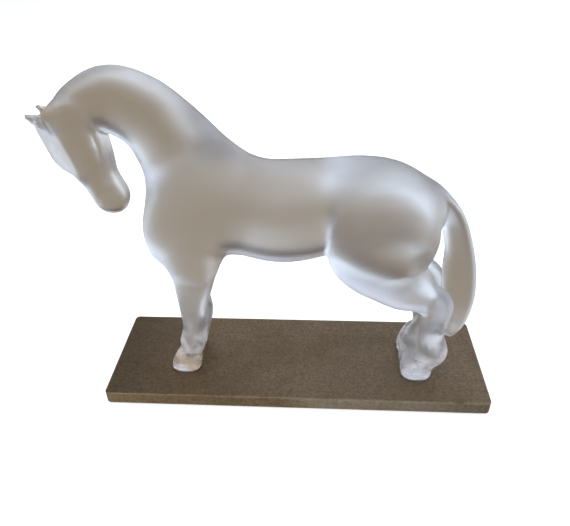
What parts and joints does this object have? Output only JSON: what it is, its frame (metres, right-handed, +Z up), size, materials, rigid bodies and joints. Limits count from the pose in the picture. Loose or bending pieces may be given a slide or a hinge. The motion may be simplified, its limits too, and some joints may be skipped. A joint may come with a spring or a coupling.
{
  "type": "crystal horse sculpture",
  "caption": "Standing horse in frosted crystal with an arched neck, tucked head and hanging tail, fixed on a flat rectangular metal plate, for display on a shelf or table.",
  "frame": {"origin": "middle of the plate's underside", "axes": "+Z up out of the plate, +X along the plate towards the horse's tail, so the horse faces -X, +Y across the plate towards the horse's right side"},
  "size_m": [0.3525, 0.102, 0.2744],
  "materials": {
    "crystal": "frosted, with clear polished hooves",
    "plate_metal": "satin with a dark grey-brown patina"
  },
  "bodies": {
    "root": {"crystal_horse": "crystal", "plinth_plate": "plate_metal"}
  },
  "joints": []
}
